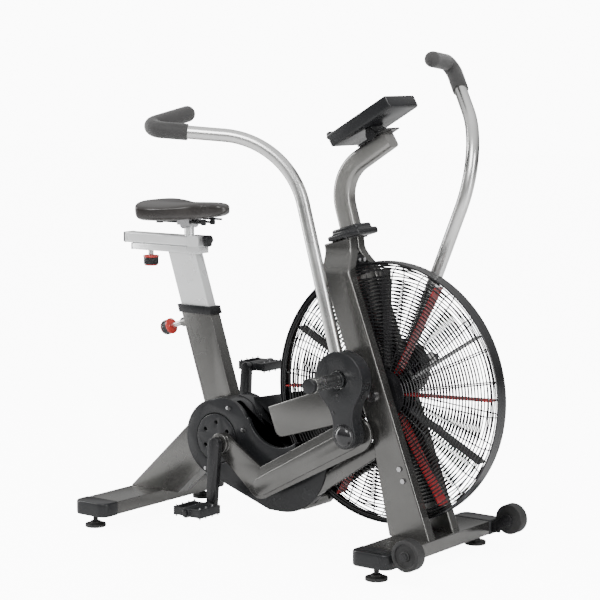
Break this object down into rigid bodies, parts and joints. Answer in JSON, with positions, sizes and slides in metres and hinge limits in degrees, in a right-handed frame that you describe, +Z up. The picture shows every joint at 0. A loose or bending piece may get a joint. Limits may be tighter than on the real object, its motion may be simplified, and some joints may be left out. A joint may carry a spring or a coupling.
{
  "type": "air bike",
  "caption": "Fan-braked exercise bike with swinging push-pull arms, a caged fan between splayed front legs, an adjustable saddle, a tilting console and linked crank arms",
  "frame": {"origin": "middle of the footprint box, at floor level", "axes": "+X forward towards the fan, +Y to the rider's left, +Z up"},
  "size_m": [1.243, 0.714, 1.3124],
  "materials": {
    "frame_grey": "metallic grey powder coat",
    "silver_tube": "satin",
    "mast_metal": "light metallic coat",
    "black_plastic": "moulded, fine texture",
    "black_metal": "black coat",
    "gloss_black": "gloss",
    "steel": "turned",
    "foam": "closed-cell foam",
    "tyre_rubber": "solid rubber",
    "red": "moulded",
    "red_blade": "red coat",
    "vinyl": "smooth upholstery vinyl",
    "screen": "display window",
    "belt_rubber": "ribbed belt"
  },
  "bodies": {
    "frame": {"main_beam": "frame_grey", "rear_strut": "frame_grey", "seat_tube": "frame_grey", "front_legs": "frame_grey", "head_bracket": "black_metal", "front_stabilizer": "frame_grey", "rear_stabilizer": "frame_grey", "end_caps": "black_plastic", "levelling_feet": "tyre_rubber", "wheel_brackets": "black_metal", "crank_cover_right": "black_plastic", "crank_cover_left": "black_plastic", "belt_guard": "black_plastic", "upper_cover": "frame_grey", "drive_belt": "belt_rubber", "fan_axle": "steel", "fan_cage_right": "black_metal", "fan_cage_left": "black_metal", "foot_pegs": "silver_tube", "seat_collar": "black_plastic", "mast": "mast_metal", "mast_collar": "black_plastic", "console_bracket": "black_metal", "fasteners": "steel", "crank_bearings": "steel"},
    "crank": {"crank_spindle": "steel", "crank_pulley": "black_plastic", "crank_discs": "black_plastic", "crank_arms": "black_metal"},
    "link_right": {"link_right": "frame_grey"},
    "link_left": {"link_left": "frame_grey"},
    "pedal_right": {"pedal_right": "black_plastic"},
    "pedal_left": {"pedal_left": "black_plastic"},
    "fan": {"fan_hub": "black_metal", "fan_blades": "black_metal", "fan_red_blades": "red_blade", "fan_pulley": "black_plastic", "fan_bearings": "steel"},
    "arm_right": {"arm_right": "silver_tube", "grip_right": "foam", "arm_cover_right": "black_plastic"},
    "arm_left": {"arm_left": "silver_tube", "grip_left": "foam", "arm_cover_left": "black_plastic"},
    "wheel_right": {"wheel_right": "tyre_rubber"},
    "wheel_left": {"wheel_left": "tyre_rubber"},
    "seat_post": {"seat_post": "silver_tube", "seat_rail": "silver_tube"},
    "height_knob": {"height_knob": "red"},
    "slider": {"seat_slider": "silver_tube"},
    "rail_knob": {"rail_knob": "red"},
    "clamp_knob": {"clamp_knob": "black_plastic"},
    "saddle": {"saddle_clamp": "steel", "saddle_base": "black_plastic", "saddle_pad": "vinyl"},
    "console": {"console_case": "black_plastic", "console_screen": "screen"},
    "button_1": {"button_1": "gloss_black"},
    "button_2": {"button_2": "gloss_black"},
    "button_3": {"button_3": "gloss_black"}
  },
  "joints": [
    {"name": "crank_spin", "type": "hinge", "parent": "frame", "child": "crank", "pos_m": [-0.2565, 0, 0.256], "axis": [0, 1, 0], "continuous": true},
    {"name": "fan_spin", "type": "hinge", "parent": "frame", "child": "fan", "pos_m": [0.2775, 0, 0.43], "axis": [0, 1, 0], "continuous": true},
    {"name": "link_turn_right", "type": "hinge", "parent": "crank", "child": "link_right", "pos_m": [-0.2045, -0.098, 0.256], "axis": [0, 1, 0], "continuous": true},
    {"name": "link_turn_left", "type": "hinge", "parent": "crank", "child": "link_left", "pos_m": [-0.3085, 0.098, 0.256], "axis": [0, 1, 0], "continuous": true},
    {"name": "pedal_spin_right", "type": "hinge", "parent": "crank", "child": "pedal_right", "pos_m": [-0.21643, -0.19, 0.08542], "axis": [0, 1, 0], "continuous": true},
    {"name": "pedal_spin_left", "type": "hinge", "parent": "crank", "child": "pedal_left", "pos_m": [-0.29657, 0.19, 0.42658], "axis": [0, 1, 0], "continuous": true},
    {"name": "arm_swing_right", "type": "hinge", "parent": "frame", "child": "arm_right", "pos_m": [0.2275, -0.14, 0.478], "axis": [0, 1, 0], "range_deg": [0, 38]},
    {"name": "arm_swing_left", "type": "hinge", "parent": "frame", "child": "arm_left", "pos_m": [0.2275, 0.14, 0.478], "axis": [0, 1, 0], "range_deg": [-38, 0]},
    {"name": "wheel_roll_right", "type": "hinge", "parent": "frame", "child": "wheel_right", "pos_m": [0.5055, -0.245, 0.081], "axis": [0, 1, 0], "continuous": true},
    {"name": "wheel_roll_left", "type": "hinge", "parent": "frame", "child": "wheel_left", "pos_m": [0.5055, 0.245, 0.081], "axis": [0, 1, 0], "continuous": true},
    {"name": "seat_height", "type": "slide", "parent": "frame", "child": "seat_post", "axis": [-0.3107, 0, 0.9505], "range_m": [-0.09, 0.09]},
    {"name": "height_pin", "type": "slide", "parent": "frame", "child": "height_knob", "axis": [-0.9505, 0, -0.3107], "range_m": [0, 0.012], "stiffness_N_per_m": 900},
    {"name": "saddle_slide", "type": "slide", "parent": "seat_post", "child": "slider", "axis": [1, 0, 0], "range_m": [-0.03, 0.045]},
    {"name": "rail_pin", "type": "slide", "parent": "seat_post", "child": "rail_knob", "axis": [0, 0, -1], "range_m": [0, 0.012], "stiffness_N_per_m": 900, "springref_m": -0.004},
    {"name": "clamp_knob_turn", "type": "hinge", "parent": "slider", "child": "clamp_knob", "pos_m": [-0.3525, 0, 0.793], "axis": [1, 0, 0], "range_deg": [-180, 180]},
    {"name": "saddle_tilt", "type": "hinge", "parent": "slider", "child": "saddle", "pos_m": [-0.3985, 0, 0.838], "axis": [0, 1, 0], "range_deg": [-8, 8]},
    {"name": "console_tilt", "type": "hinge", "parent": "frame", "child": "console", "pos_m": [0.23307, 0, 1.10703], "axis": [0, 1, 0], "range_deg": [-10, 10]},
    {"name": "button_1_press", "type": "slide", "parent": "console", "child": "button_1", "axis": [-0.5, 0, 0.866], "range_m": [-0.0024, 0], "stiffness_N_per_m": 300, "springref_m": 0.0005},
    {"name": "button_2_press", "type": "slide", "parent": "console", "child": "button_2", "axis": [-0.5, 0, 0.866], "range_m": [-0.0024, 0], "stiffness_N_per_m": 300, "springref_m": 0.0005},
    {"name": "button_3_press", "type": "slide", "parent": "console", "child": "button_3", "axis": [-0.5, 0, 0.866], "range_m": [-0.0024, 0], "stiffness_N_per_m": 300, "springref_m": 0.0005}
  ],
  "couplings": [
    {"joint": "fan_spin", "follows": "crank_spin", "ratio": 3.3333},
    {"joint": "link_turn_right", "follows": "crank_spin", "ratio": -1},
    {"joint": "link_turn_left", "follows": "crank_spin", "ratio": -1},
    {"joint": "arm_swing_left", "follows": "arm_swing_right", "ratio": -1}
  ]
}
